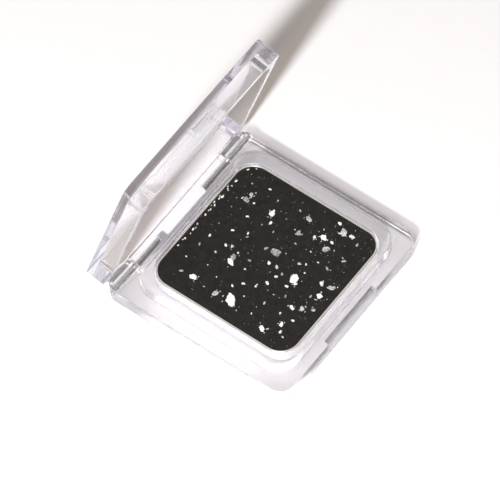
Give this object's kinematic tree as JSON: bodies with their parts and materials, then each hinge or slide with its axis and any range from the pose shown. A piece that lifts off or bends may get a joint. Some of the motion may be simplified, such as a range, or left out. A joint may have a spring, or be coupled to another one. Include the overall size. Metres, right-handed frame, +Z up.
{
  "type": "eyeshadow palette",
  "caption": "Clear square hinged compact holding one pan of pressed powder with embedded flakes; the lid turns on two steel pins.",
  "frame": {"origin": "centre of the base's flat underside", "axes": "+X to the right, +Y from the thumb notch to the hinge, +Z up out of the powder"},
  "size_m": [0.0374, 0.0413, 0.0367],
  "materials": {
    "clear_plastic": "clear, polished",
    "tin": "bright pressed sheet",
    "glue": "matte",
    "powder": "pressed powder, matte and grainy",
    "flake": "pearly",
    "label": "blank white film",
    "steel": "drawn wire, ridged at one end"
  },
  "bodies": {
    "base": {"base_shell": "clear_plastic", "powder_pan": "tin", "pan_glue": "glue", "powder_cake": "powder", "silver_flakes": "flake", "base_label": "label", "hinge_pin_left": "steel", "hinge_pin_right": "steel"},
    "lid": {"lid_shell": "clear_plastic"}
  },
  "joints": [
    {"name": "lid_hinge", "type": "hinge", "parent": "base", "child": "lid", "pos_m": [0, 0.0167, 0.0018], "axis": [-1, 0, 0], "range_deg": [-73, 0]}
  ]
}
